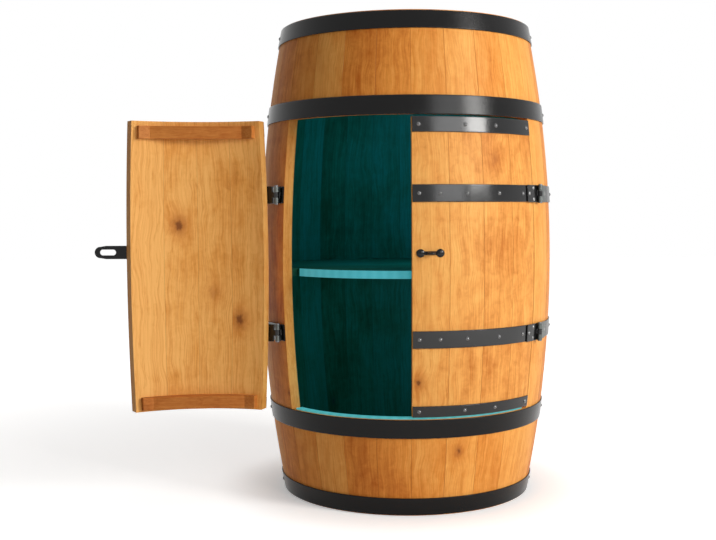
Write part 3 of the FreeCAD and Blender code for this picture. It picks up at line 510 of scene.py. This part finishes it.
WOODS = {
    # Board 17 of the staves, the one beside the left doorway, gets a darker tone: painted shade of the open
    # left door.
    "staves": wood("staves", upright_row(DOORWAY, STAVE_STEP, FIRST_STAVE), OUTER_TONES,
                   inside=inner_wall, tones={17: 0.8}),
    "bands": wood("bands", upright_row(-DOORWAY, BAND_STEP, FIRST_BAND_STAVE), OUTER_TONES,
                  inside=inner_wall, spots=[Knot(5, 0.0236, 0.1055, 0.7, 0.2)]),
    "right_door": wood(
        "right_door", upright_row(DOOR_SEAM, DOOR_STEP, FIRST_RIGHT_DOOR_STAVE), RIGHT_DOOR_TONES,
        knots=0.05, tone_range=0.35, contrast=1.3,
        spots=[Knot(0, 0.0105, 0.2182, 0.7, 0.3), Knot(2, 0.0254, 0.5695, 1.2, 1.5)]),
    "left_door": wood(
        "left_door", upright_row(DOOR_JAMB - DOORWAY, DOOR_STEP, FIRST_LEFT_DOOR_STAVE, LEFT_DOOR_TURN),
        LEFT_DOOR_TONES, knots=0.0, tone_range=0.5, contrast=1.4,
        tones={3: -0.4, 2: 0.15, 1: 0.05, 0: 0.05},
        spots=[Knot(2, 0.0332, 0.4646, 1.0, 0.0), Knot(0, 0.0455, 0.309, 1.0, 0.0),
               Knot(1, 0.031, 0.354, 1.3, 1.6)]),
    "top_head": wood("top_head", level_row(HEAD_BOARD_WIDTH, FIRST_TOP_HEAD_BOARD), OUTER_TONES,
                     inside=under_top_head),
    "bottom_head": wood("bottom_head", level_row(HEAD_BOARD_WIDTH, FIRST_BOTTOM_HEAD_BOARD), OUTER_TONES,
                        inside=over_bottom_head),
    "shelf": wood("shelf", level_row(SHELF_BOARD_WIDTH, FIRST_SHELF_BOARD, along_x=True), OUTER_TONES,
                  inside=everywhere),
    "left_cleats": wood(
        "left_cleats", level_row(ONE_WIDE_BOARD, FIRST_LEFT_CLEAT, along_x=True, turn=LEFT_DOOR_TURN,
                                 bearing=-CLEAT_BEARING),
        CLEAT_TONES, knots=0.0),
    "right_cleats": wood(
        "right_cleats", level_row(ONE_WIDE_BOARD, FIRST_RIGHT_CLEAT, along_x=True, bearing=CLEAT_BEARING),
        CLEAT_TONES, knots=0.0),
}


# ---------------------------------------------------------------- metal, light strips and plastic
def metal(name, base, worn_and_highlight_colour, roughness, wear_and_highlight, edge, metallic=0.0, specular=0.3, coat=0.0):
    """Painted or plated metal: uneven gloss, faint dents, and lighter edges: partly abraded finish, partly
    painted highlight.

    edge is how far the lighter edges reach in, in metres, and wear_and_highlight how strongly they show.
    """
    graph = new_material(name)
    place = graph.place()
    broad = graph.noise(place, scale=14.0, detail=4.0, roughness=0.6)
    fine = graph.noise(place, scale=380.0, detail=3.0, roughness=0.65)
    patches = graph.noise(place, scale=60.0, detail=4.0, roughness=0.7)
    soft_edge = graph.add("Bevel", {"Radius": edge}, samples=4).outputs[0]
    true_normal = graph.add("NewGeometry").outputs["Normal"]
    facing = graph.add("VectorMath", {0: soft_edge, 1: true_normal}, operation="DOT_PRODUCT").outputs["Value"]
    # Lighter edges: partly abrasion of the finish, partly a painted highlight along the edges.
    rim = graph.times(graph.step(facing, 0.998, 0.88), graph.step(patches, 0.35, 0.65))
    scuffs = graph.times(graph.step(fine, 0.62, 0.74), graph.step(broad, 0.45, 0.7))
    wear_and_highlight_mask = graph.calc("MAXIMUM", graph.times(rim, wear_and_highlight), graph.times(scuffs, 0.25 * wear_and_highlight))
    colour = graph.mix(graph.step(broad, 0.3, 0.75), base, brighter(base, 1.5))
    colour = graph.mix(wear_and_highlight_mask, colour, worn_and_highlight_colour)
    gloss = graph.total(graph.scaled(graph.less(broad, 0.5), 0.28, roughness), graph.signed(fine, 0.14))
    bump = graph.add("Bump", {"Height": graph.total(graph.times(broad, 3.0), fine),
                              "Strength": 0.18, "Distance": 0.0003, "Normal": soft_edge})
    shader = graph.add("BsdfPrincipled", {
        "Base Color": colour, "Roughness": gloss, "Metallic": metallic, "Normal": bump.outputs[0],
        "Specular IOR Level": specular, "Coat Weight": coat, "Coat Roughness": 0.25})
    return graph.finish(shader.outputs[0])


# The light strips' bend, and the pitch of the lamps behind them, in metres.
STRIP_RADIUS = 0.23
STRIP_LAMP_PITCH = 0.0167


def glowing(name, colour, hot, strength):
    """A frosted diffuser with a row of lamps behind it, which show as soft brighter spots."""
    graph = new_material(name)
    place = graph.place()
    x, y, height = graph.parts(place)
    row = graph.calc("DIVIDE", graph.times(graph.bearing(x, y), STRIP_RADIUS), STRIP_LAMP_PITCH)
    from_lamp = graph.calc("ABSOLUTE", graph.less(graph.calc("FRACT", row), 0.5))
    spot = graph.step(from_lamp, 0.42, 0.05)
    frost = graph.noise(place, scale=240.0, detail=3.0, roughness=0.6)
    bump = graph.add("Bump", {"Height": frost, "Strength": 0.2, "Distance": 0.0002})
    shader = graph.add("BsdfPrincipled", {
        "Base Color": srgb(60, 130, 140), "Roughness": graph.scaled(frost, 0.2, 0.4),
        "Emission Color": graph.mix(graph.times(spot, 0.15), colour, hot),
        "Emission Strength": graph.times(graph.scaled(frost, 0.25, 0.88), strength),
        "Normal": bump.outputs[0]})
    return graph.finish(shader.outputs[0])


def moulded(name, base, roughness):
    """Fine textured plastic with a little dust in its grain."""
    graph = new_material(name)
    place = graph.place()
    grain = graph.noise(place, scale=900.0, detail=2.0, roughness=0.6)
    broad = graph.noise(place, scale=25.0, detail=3.0, roughness=0.5)
    colour = graph.mix(graph.times(broad, 0.4), base, brighter(base, 2.0))
    bump = graph.add("Bump", {"Height": grain, "Strength": 0.3, "Distance": 0.0002})
    shader = graph.add("BsdfPrincipled", {
        "Base Color": colour, "Roughness": graph.scaled(grain, 0.2, roughness - 0.1),
        "Normal": bump.outputs[0], "Specular IOR Level": 0.4})
    return graph.finish(shader.outputs[0])


STEEL = metal("black_hoop_steel", srgb(9, 8, 8), srgb(70, 67, 65), 0.22,
              wear_and_highlight=0.14, edge=0.0026, specular=0.20)
STRAP = metal("black_strap_steel", srgb(9, 9, 10), srgb(92, 90, 88), 0.17,
              wear_and_highlight=0.22, edge=0.0022, specular=0.42)
FASTENER = metal("black_rivets", srgb(8, 8, 9), srgb(170, 168, 166), 0.18,
                 wear_and_highlight=0.7, edge=0.0005, specular=1.0, coat=1.0)
HARDWARE = metal("black_hasp", srgb(8, 8, 9), srgb(110, 106, 104), 0.12,
                 wear_and_highlight=0.08, edge=0.0006, specular=0.26)
HINGE = metal("hinge_steel", srgb(84, 88, 86), srgb(206, 204, 200), 0.34,
              wear_and_highlight=0.9, edge=0.0006, metallic=0.85)
SCREW = metal("hinge_screws", srgb(120, 120, 120), srgb(225, 224, 220), 0.32,
              wear_and_highlight=0.7, edge=0.0004, metallic=0.95)
PIN = metal("hinge_pins", srgb(110, 110, 112), srgb(190, 188, 186), 0.34,
            wear_and_highlight=0.7, edge=0.0005, metallic=0.9)
CLIP = metal("clip_nickel", srgb(196, 198, 200), srgb(240, 240, 240), 0.30,
             wear_and_highlight=0.5, edge=0.0005, metallic=0.9)
SHELF_GLOW = glowing("shelf_glow", srgb(44, 158, 168), srgb(110, 215, 226), 0.62)
SILL_GLOW = glowing("sill_glow", srgb(66, 172, 174), srgb(150, 228, 230), 0.66)
HEADER_GLOW = glowing("header_glow", srgb(70, 200, 220), srgb(170, 240, 246), 9.0)
CASE = moulded("battery_plastic", srgb(34, 35, 37), 0.55)


# ---------------------------------------------------------------- which node wears what
def dress(node, material):
    mesh = frame["nodes"][node].data
    mesh.materials.clear()
    mesh.materials.append(material)


DRESSING = {
    "header_staves": WOODS["bands"], "sill_staves": WOODS["bands"], "top_head": WOODS["top_head"],
    "bottom_head": WOODS["bottom_head"], "shelf": WOODS["shelf"], "shelf_light": SHELF_GLOW,
    "sill_light": SILL_GLOW, "header_light": HEADER_GLOW, "shelf_clips": CLIP, "battery_box": CASE,
    "hoop_rivets": FASTENER, "hinge_body_leaves": HINGE, "hinge_body_screws": SCREW,
    "left_door_staves": WOODS["left_door"], "right_door_staves": WOODS["right_door"],
    "left_door_cleats": WOODS["left_cleats"], "right_door_cleats": WOODS["right_cleats"],
    "hasp_leaf": HARDWARE, "hasp_pin": HARDWARE, "hasp_screws": FASTENER, "hasp_flap": HARDWARE,
    "staple": HARDWARE, "staple_screws": HARDWARE,
}
for number in range(1, FULL_STAVES + 1):
    DRESSING[f"stave_{number:02d}"] = WOODS["staves"]
for hoop in ("top", "upper_quarter", "upper_bilge", "lower_bilge", "lower_quarter", "bottom"):
    DRESSING[f"{hoop}_hoop"] = STEEL
for door in ("left_door", "right_door"):
    DRESSING.update({
        f"{door}_end_straps": STRAP, f"{door}_bilge_straps": STRAP, f"{door}_rivets": FASTENER,
        f"{door}_hinge_leaves": STRAP, f"{door}_hinge_pins": PIN, f"{door}_hinge_screws": SCREW})
for node, material in DRESSING.items():
    dress(node, material)

# ---------------------------------------------------------------- floor, backdrop and light
FLOOR_HALF = 9.0
FLOOR_DROP = 0.0005
# How strongly the floor glows, between a near and a far distance from the barrel's axis. Its weaker glow
# right beside the barrel paints a soft shadow round the base.
GLOW_WITH_PAINTED_SHADOW = {"low": 0.225, "high": 0.35, "to_low": 0.36, "to_high": 0.60}
GLOW_FARTHER_OFF = {"low": 0.45, "high": 1.8, "to_low": 0.0, "to_high": 0.37}
WHITE = (1.0, 1.0, 1.0)
WARM_WHITE = (1.0, 0.985, 0.96)
DEEP_TURQUOISE = (0.06, 0.62, 1.0)
TURQUOISE = (0.10, 0.72, 1.0)
ROOM_COLOUR = (1.0, 0.93, 0.86, 1.0)
ROOM_LIGHT = 0.11


def make_floor():
    """White paper. It glows only where it is seen, and less near the barrel: a painted soft shadow round the
    base, beside the barrel's own shadow, which it keeps.
    """
    mesh = bpy.data.meshes.new("studio_floor")
    corners = [(x * FLOOR_HALF, y * FLOOR_HALF, 0) for x, y in ((-1, -1), (1, -1), (1, 1), (-1, 1))]
    mesh.from_pydata(corners, [], [(0, 1, 2, 3)])
    floor = bpy.data.objects.new("studio_floor", mesh)
    floor.location.z = -FLOOR_DROP
    bpy.context.scene.collection.objects.link(floor)
    graph = new_material("studio_paper")
    place = graph.place()
    grain = graph.noise(place, scale=60.0, detail=3.0, roughness=0.6)
    tint = graph.mix(grain, srgb(250, 250, 250), srgb(255, 255, 255))
    reach = graph.add("VectorMath", {0: place}, operation="LENGTH").outputs["Value"]
    # Painted shadow: the glow dips close to the barrel's base.
    glow_and_painted_shadow = graph.total(graph.step(reach, **GLOW_WITH_PAINTED_SHADOW), graph.step(reach, **GLOW_FARTHER_OFF))
    paper = graph.add("BsdfDiffuse", {"Color": tint})
    bright = graph.add("Emission", {"Color": tint, "Strength": graph.times(graph.seen_directly(), glow_and_painted_shadow)})
    both = graph.add("AddShader", {0: paper.outputs[0], 1: bright.outputs[0]})
    mesh.materials.append(graph.finish(both.outputs[0]))


def make_world():
    """Pale surroundings: plain white to the camera and in reflections, dimmer as light."""
    world = bpy.data.worlds.new("studio")
    bpy.context.scene.world = world
    graph = Graph(world, "OutputWorld")
    lighting = graph.add("Background", {"Color": ROOM_COLOUR, "Strength": ROOM_LIGHT})
    backdrop = graph.add("Background", {"Color": WHITE + (1.0,), "Strength": 1.0})
    blend = graph.add("MixShader", {
        0: graph.seen_directly(), 1: lighting.outputs[0], 2: backdrop.outputs[0]})
    graph.finish(blend.outputs[0])


def lamp(name, place, aim, size, power, colour=WHITE):
    """A rectangular lamp at a place, aimed at a point, which the camera doesn't see."""
    light = bpy.data.lights.new(name, "AREA")
    light.shape = "RECTANGLE"
    light.size, light.size_y = size
    light.energy = power
    light.color = colour
    holder = bpy.data.objects.new(name, light)
    holder.location = place
    holder.rotation_mode = "QUATERNION"
    holder.rotation_quaternion = (Vector(aim) - Vector(place)).to_track_quat("-Z", "Y")
    holder.visible_camera = False
    bpy.context.scene.collection.objects.link(holder)


make_floor()
make_world()
lamp("key", (2.45, -1.75, 1.45), aim=(0.0, 0.0, 0.42), size=(0.9, 1.1), power=62.0, colour=WARM_WHITE)
lamp("front", (1.5, -2.5, 1.3), aim=(0.0, 0.0, 0.40), size=(1.2, 1.2), power=20.0)
lamp("top", (0.0, 0.3, 2.6), aim=(0.0, 0.0, 0.4), size=(2.0, 2.0), power=12.0)
lamp("header_strip", (0.03, -0.100, 0.645), aim=(0.03, 0.15, 0.46), size=(0.20, 0.012), power=1.1,
     colour=DEEP_TURQUOISE)
lamp("shelf_strip", (0.0, -0.140, 0.368), aim=(0.0, 0.14, 0.22), size=(0.24, 0.012), power=0.60,
     colour=TURQUOISE)
lamp("sill_strip", (0.0, -0.165, 0.172), aim=(0.0, 0.14, 0.22), size=(0.24, 0.012), power=0.15,
     colour=TURQUOISE)
